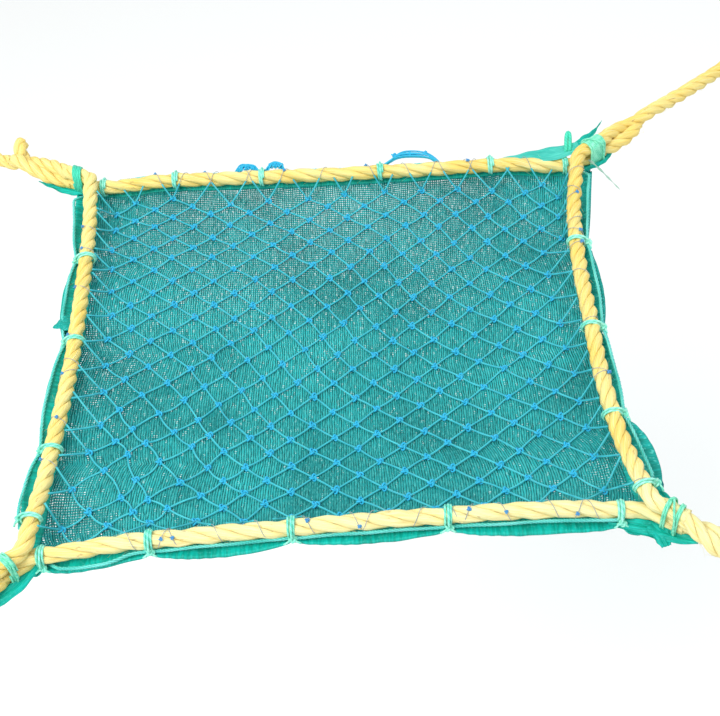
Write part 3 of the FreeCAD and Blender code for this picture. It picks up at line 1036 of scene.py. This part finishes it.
def add_net():
    shape = Shape()
    rng = np.random.default_rng(23)
    x, y, slack = net_nodes()
    gap, nearest = edge_gap(x, y)
    inside = gap > 0
    points = np.stack([x, y, cloth_level(x, y) + 2.2 * MM], axis=2)
    size = x.shape[0]
    bars, slacks, outer = [], [], []
    for di, dj in ((1, 0), (0, 1)):
        a = (slice(0, size - di), slice(0, size - dj))
        b = (slice(di, size), slice(dj, size))
        both = inside[a] & inside[b]
        bars.append((points[a][both], points[b][both]))
        slacks.append((slack[a][both] + slack[b][both]) / 2)
        for here, there in ((a, b), (b, a)):
            out = inside[here] & ~inside[there]
            outer.append((points[here][out], points[there][out], nearest[there][out]))
    start, end = (np.concatenate(each) for each in zip(*bars))
    shape.tubes(bar_lines(start, end, np.concatenate(slacks), rng), NET_R, 6, twist=NET_TWIST)
    leads, overs = edge_twines(*(np.concatenate(each) for each in zip(*outer)))
    shape.tubes(leads, NET_R, 6, twist=NET_TWIST)
    knots = small_knots(points[inside], KNOT_SIZE, rng)
    shape.tubes(knots, NET_R, 5, twist=NET_TWIST, closed=True, crown=0.0)
    made = shape.piece("diamond_net", NET, "net_twine")
    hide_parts("diamond_net_left", "diamond_net_right")
    bend_at_fold(made)
    lashing = Shape()
    kept = overs[rng.random(len(overs)) < 0.6]
    lashing.tubes(kept, LASHING_R, 5, twist=LASHING_TWIST)
    tied = kept[rng.random(len(kept)) < 0.55]
    tops = tied[np.arange(len(tied)), rng.integers(5, 11, len(tied))] + 0.4 * MM * UP
    knots = small_knots(tops, 1.5 * MM, rng, 16)
    lashing.tubes(knots, 0.5 * MM, 5, twist=LASHING_TWIST, closed=True, crown=0.0)
    lashed = lashing.piece("net_lashing", LASHING, "net_twine")
    bend_at_fold(lashed)
    return [made, lashed]


net = add_net()


# ---------------------------------------------------------------- edge cords

CORD_R = 1.5 * MM
CORD_PLACES = {  # in mm: how far out of the rope at a hitch, how much further between hitches, and how high
    "left": (8.6, 7.0, -2.0),
    "right": (9.0, 3.5, -2.0),
    "front": (7.0, 0.3, -4.2),
    "back": (8.0, 1.0, -2.0),
}
FRONT_SLACK = 6.0  # mm that the front cord hangs looser at its left end
FRONT_SLACK_FROM = -140 * MM  # left of this place


def edge_line(side):
    """The edge cord's line: held at the hitches, a little slack between them."""
    held, slack, height = CORD_PLACES[side]
    half = half_length(side) - 11 * MM
    along = np.arange(-half, half, 2 * MM)
    free, _ = arch(side, along)
    if side == "front":
        slack = slack + FRONT_SLACK * smooth((FRONT_SLACK_FROM - along) / (25 * MM))
    wobble = 0.25 * np.sin(along * 130 + len(side))
    tucked = smooth((np.abs(along) - half + 14 * MM) / (14 * MM))
    out = (held + slack * free + wobble) * MM * (1 - tucked) + 2 * MM * tucked
    z = height * MM + rope_height(side, along) * 0.6
    z = z * (1 - tucked) + (rope_height(side, along) - ROPE_LOOK - 2 * MM) * tucked
    return beside(side, along, out, z)


def add_edge_cord(side):
    shape = Shape()
    shape.rope(edge_line(side), radius=CORD_R, pitch=11 * MM, sides=6, groove=0.3, yarns=0)
    cord = shape.piece("edge_cord_" + side + "_twine", EDGE, "edge_cord")
    if SIDES[side][0]:
        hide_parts("edge_cord_%s_left" % side, "edge_cord_%s_right" % side)
        bend_at_fold(cord)
    else:
        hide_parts("edge_cord_" + side)
        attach(cord, half_at(SIDES[side][1]))
    return cord


edge_cords = [add_edge_cord(side) for side in SIDES]


# ---------------------------------------------------------------- hitches and whippings

HITCH_R = 0.9 * MM


def knot_at(centre, size, seed, count=40):
    return small_knots(np.array([centre]), size, np.random.default_rng(seed), count)[0]


def rope_axes(side, place):
    """The middle of a border rope at this place, and the ways ahead, out and up there."""
    lengthwise, sign = SIDES[side]
    near = np.array([place, place + 1 * MM])
    middle, other = beside(side, near, 0.0, rope_height(side, near))
    ahead = unit(other - middle)
    out = np.array([0.0, sign, 0.0]) if lengthwise else np.array([sign, 0.0, 0.0])
    out = unit(out - (out @ ahead) * ahead)
    up = np.cross(ahead, out)
    return middle, ahead, out, up * np.sign(up[2])


def add_hitch(side, number, place):
    """Turns round the rope, a longer loop that takes in the edge cord, a knot and two short ends."""
    lengthwise = SIDES[side][0]
    middle, ahead, out, up = rope_axes(side, place)
    rng = np.random.default_rng(100 + 10 * number + len(side))
    shape = Shape()
    turns = 2.5 if lengthwise else 1.9
    turn = np.linspace(-0.2 * np.pi, (2 * turns - 0.2) * np.pi, int(40 * turns))
    slide = np.linspace(-0.96, 0.96, len(turn)) * turns * MM
    slide = slide + 0.2 * MM * np.sin(turn * 0.7 + rng.random() * 6)
    reach = ROPE_LOOK + 0.45 * MM + 0.15 * MM * np.sin(turn * 3 + rng.random() * 6)
    wrap = middle + reach[:, None] * (np.cos(turn)[:, None] * out + np.sin(turn)[:, None] * up)
    shape.tubes(wrap + slide[:, None] * ahead, HITCH_R, 8, twist=TWINE_TWIST)
    loop = np.linspace(-0.35 * np.pi, 1.7 * np.pi, 60)
    tight = ROPE_LOOK + 1.0 * MM
    wide = np.where(np.cos(loop) > 0, 10.0 * MM, tight)
    band = middle + (wide * np.cos(loop))[:, None] * out + (tight * np.sin(loop))[:, None] * up
    drift = np.linspace(-0.4, 1.8, 60) * MM
    shape.tubes(band + drift[:, None] * ahead, HITCH_R, 8, twist=TWINE_TWIST)
    knot = middle + out * (8.6 if lengthwise else 10.0) * MM - up * (3.4 if side == "front" else 0.6) * MM
    for centre, size, seed in ((knot, 2.5, number), (knot + ahead * 1.4 * MM, 1.8, number + 50)):
        shape.tubes(knot_at(centre, size * MM, seed), HITCH_R, 7, twist=TWINE_TWIST, closed=True)
    for way in (-1, 1):
        far = (1.2 + 2.0 * rng.random()) * MM
        tail = [knot, knot + out * 1.5 * MM + ahead * way * 2.0 * MM,
                knot + out * 2.2 * MM + ahead * way * (2.6 * MM + far * 0.5) - UP * 1.0 * MM,
                knot + out * 2.4 * MM + ahead * way * (3.2 * MM + far) - UP * 2.4 * MM]
        shape.tubes(route_line(tail, 0.8 * MM), HITCH_R * 0.85, 7, twist=TWINE_TWIST)
    name = "hitch_%s_%d" % (side, number)
    hitch = shape.piece(name + "_twine", HITCH, "hitch_twine")
    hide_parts(name)
    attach(hitch, half_at(middle[0]))


WHIPPINGS = {  # bands of twine along the two ropes: from, to (mm past the corner) and turns
    "back_left": [(9.6, 18.8, 6)],
    "back_right": [(9.6, 26.5, 10)],
    "front_right": [(11.8, 15.2, 2), (20.6, 24.6, 2)],
    "front_left": [(12.5, 18.5, 4)],
}
WHIPPING_SLANTS = {"back_left": -0.4}  # how much the turns lean along the ropes
WHIPPING_R = 0.85 * MM
WHIPPING_DROPS = {"front_right": 4.0 * MM}  # where the twine takes in the gathered cloth below the ropes


def oval(name, far, angle, clearance):
    """Points on an oval round a corner's two stacked ropes."""
    ahead, aside = corner_axes(name)
    across = (ROPE_LOOK + clearance) * np.cos(angle)
    far = far + WHIPPING_SLANTS.get(name, 0.0) * across
    tall = (ROPE_LOOK + clearance) * np.sin(angle) + LAYER * np.clip(np.sin(angle) * 3, -1, 1)
    tall = tall + WHIPPING_DROPS.get(name, 0.0) * np.minimum(0.0, np.sin(angle))
    return corner_point(name) + ahead * far[:, None] + aside * across[:, None] + UP * tall[:, None]


def add_whipping(name):
    shape = Shape()
    rng = np.random.default_rng(70 + len(name))
    ahead, aside = corner_axes(name)
    for low, high, turns in WHIPPINGS[name]:
        angle = np.linspace(0, 2 * np.pi * turns, turns * 44)
        far = (low + (high - low) * angle / angle[-1]) * MM
        far = far + 0.2 * MM * np.sin(angle * 0.37 + rng.random() * 6)
        clearance = 0.55 * MM + 0.12 * MM * np.sin(angle * 1.7)
        shape.tubes(oval(name, far, angle, clearance), HITCH_R, 8, twist=TWINE_TWIST)
    low, high = WHIPPINGS[name][0][0], WHIPPINGS[name][-1][1]
    cross = np.linspace(0.1 * np.pi, 2.4 * np.pi, 90)
    slant = (low + (high - low) * (0.5 - 0.42 * np.cos(cross * 0.8))) * MM
    if name != "back_left":
        shape.tubes(oval(name, slant, cross, 2.1 * MM), WHIPPING_R, 8, twist=TWINE_TWIST)
    knot = beyond(name, (low + high) / 2 * MM, 0, -LAYER - 8.6 * MM)
    shape.tubes(knot_at(knot, 2.8 * MM, len(name)), WHIPPING_R, 7, twist=TWINE_TWIST, closed=True)
    for way in (-1, 1):
        tail = [knot, knot + ahead * way * 2 * MM - UP * 1 * MM, knot + (aside * 2 + ahead * way * 4) * MM,
                knot + (aside * 4 + ahead * way * 6) * MM - UP * 2 * MM]
        shape.tubes(route_line(tail, 0.8 * MM), 0.75 * MM, 7, twist=TWINE_TWIST)
    material = WHIPPING_DEEP if name == "back_left" else WHIPPING
    piece = shape.piece("whipping_" + name + "_twine", material, "whipping_twine")
    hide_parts("whipping_" + name)
    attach(piece, parent_half(name))


for side_name, places in HITCHES.items():
    for order, hitch_place in enumerate(places, 1):
        add_hitch(side_name, order, hitch_place * MM)
for corner_name in CORNERS:
    add_whipping(corner_name)


# ---------------------------------------------------------------- bunched cloth and net at the corners

def add_bunch(name, widths, route, folds=2, depth=1.2, thick=0.9, seed=1, material=HEM, swing=None):
    """A gathered strip of cloth, this wide (in mm) along its route and pleated along its length.

    It rides on the half where it starts; with swing, its placement is only baked into its mesh.
    """
    shape = Shape()
    line = route_line(route, 1.2 * MM)
    tangent, _, _ = (each[0] for each in carried_frames(line[None]))
    share = np.linspace(0, 1, len(line))
    flat = unit(np.cross(tangent, UP))
    over = np.cross(flat, tangent)
    width = np.interp(share, np.linspace(0, 1, len(widths)), widths)[:, None] * MM / 2
    angle = np.linspace(0, 2 * np.pi, 22, endpoint=False)
    across = np.cos(angle)[None]
    rng = np.random.default_rng(seed)
    wave = np.sin(folds * np.pi * across + 1.5 * np.sin(share * 5)[:, None] + rng.random() * 6)
    lift = np.sin(angle)[None] * thick * MM / 2 + depth * MM * wave * np.minimum(1, width / (3 * MM))
    lift = lift + 0.5 * MM * np.sin(share * 23 + seed)[:, None] * across
    ring = line[:, None] + (width * across)[..., None] * flat[:, None] + lift[..., None] * over[:, None]
    fibre = np.broadcast_arrays(across * width / MM * 1.4, share[:, None] * len(line) * 0.6, 0.0)
    shape.rings(ring[None], np.stack(fibre, axis=-1))
    bunch = shape.piece(name, material, "shade_cloth")
    if swing:
        blend_at_swing(bunch)
    else:
        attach(bunch, half_at(line[0][0]))
    return bunch


def point(x, y, z):
    return np.array([x, y, z]) * MM


def spots(*places):
    return [point(*place) for place in places]


def past(name, *places):
    """Points past a corner, each so many mm ahead, to the left and up."""
    return [beyond(name, *point(*place)) for place in places]


bunches = [
    add_bunch("bunch_back_left_under", [10, 12, 11, 7, 1],
              past("back_left", (5, 4, -9), (20, 7, -10), (38, 8, -10), (56, 9, -7)),
              seed=2, swing="back_left"),
    add_bunch("bunch_back_right_under", [8, 10, 8, 1.5],
              past("back_right", (2, -6, -8), (14, -8, -10), (26, -8, -9), (36, -7, -7)),
              seed=3, swing="back_right"),
    add_bunch("bunch_front_right_under", [4, 10, 14, 15, 11, 4],
              spots((194, -190, -12), (212, -196, -11), (227, -200, -11), (239, -205, -11), (253, -212, -9)),
              seed=4, swing="front_right"),
    add_bunch("bunch_front_right_over", [9, 9, 7, 2],
              spots((230, -168, -9), (235, -177, -6), (240, -185, -3), (247, -192, 0)), seed=5),
    add_bunch("bunch_front_right_lobe", [12, 15, 13, 11, 7],
              spots((223, -195, -10), (228, -202, -11), (230.5, -208, -12), (231.5, -212, -13)),
              folds=3, seed=6),
    add_bunch("bunch_left_flap", [27, 17, 0.8],
              spots((-216, 27, -4), (-224, 24, 0), (-234, 18, 1)),
              folds=1, depth=0.5, seed=12, material=TEAL_HEM),
    add_bunch("bunch_front_left_under", [10, 13, 12, 3],
              past("front_left", (-2, 6, -9), (14, 9, -11), (34, 8, -11), (58, 5, -9)),
              seed=7, swing="front_left"),
    add_bunch("bunch_back_right_strip", [4, 12, 16, 18, 17, 10],
              spots((148, 189.5, -1), (172, 191, 0), (195, 192.5, 1), (212, 194, 2), (226, 199, 4)),
              depth=0.6, seed=8, material=BRIGHT_HEM),
    add_bunch("bunch_back_right_spike", [9, 10, 5, 1.6, 0.4],
              spots((224, 200, 3), (234, 206, 6), (242, 214, 8), (250, 226, 9)), depth=0.8, seed=10),
    add_bunch("stray_tape_back_right", [2.2, 2.0, 1.4, 0.4],
              spots((233, 186, -2), (240, 176, -3), (248, 162, -5), (256, 150, -8)),
              folds=0.6, depth=0.2, thick=0.5, seed=9, material=PALE_TAPE),
]


def add_peg():
    """The loop of thick twine that stands out behind the last hitch of the back rope."""
    shape = Shape()
    foot = point(214.8, 193.5, 3)
    tip = point(216.8, 209, 9)
    side = np.array([1.0, 0.1, 0.0]) * 1.7 * MM
    half_way = (foot + tip) / 2
    line = route_line([foot - side, half_way - side * 1.1, tip - side, tip + point(0.2, 3.2, 1.0),
                       tip + side, half_way + side * 1.1, foot + side], 0.8 * MM)
    shape.tubes(line, 1.75 * MM, 10, twist=700.0)
    peg = shape.piece("hitch_back_6_loop", WHIPPING_DEEP, "hitch_twine")
    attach(peg, "flap_half")


SLACK_STRAND = (  # a slack twine: share of the way along, mm out of the rope, share of the reach, mm up
    (0, 5, 0, 1),
    (0.12, 8, 0, 3),
    (0.3, 8, 0.9, 4),
    (0.6, 8, 1, 3),
    (0.88, 8, 0.55, 3),
    (1, 6, 0, 1),
)
NET_BUNCH_AT = 70 * MM  # the bunches' knots lie level with the back rope here


def add_net_bunch(name, low, high, reach, seed):
    """Slack meshes of the net that stand out behind the back rope, with a hole between their twines."""
    shape = Shape()
    rng = np.random.default_rng(seed)
    for strand in range(7):
        shift = rng.normal(0, 1.2, 2)
        outer = reach * (0.45 + 0.55 * (strand % 4) / 3)
        line = []
        for share, out, reached, z in SLACK_STRAND:
            x = low + (high - low) * share + shift[0]
            y = rope_y(1, x * MM) / MM + out + outer * reached + shift[1] * 0.4
            line.append(point(x, y, z + strand * 0.35))
        shape.tubes(route_line(line, 1.2 * MM), 0.75 * MM, 6, twist=NET_TWIST, crown=0.15)
    knot_y = rope_y(1, NET_BUNCH_AT) / MM + 8 + reach * 0.7
    tied = [point(low + (high - low) * share, knot_y, 4) for share in (0.22, 0.5, 0.8)]
    knots = small_knots(np.array(tied), 2.4 * MM, rng)
    shape.tubes(knots, 0.75 * MM, 6, twist=NET_TWIST, closed=True, crown=0.0)
    bunch = shape.piece(name, NET, "net_twine")
    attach(bunch, half_at(low))
    return bunch


add_peg()
net += [
    add_net_bunch("net_bunch_right", 46, 96, 13, 81),
    add_net_bunch("net_bunch_left_a", -88, -70, 6, 82),
    add_net_bunch("net_bunch_left_b", -60, -45, 8, 83),
]
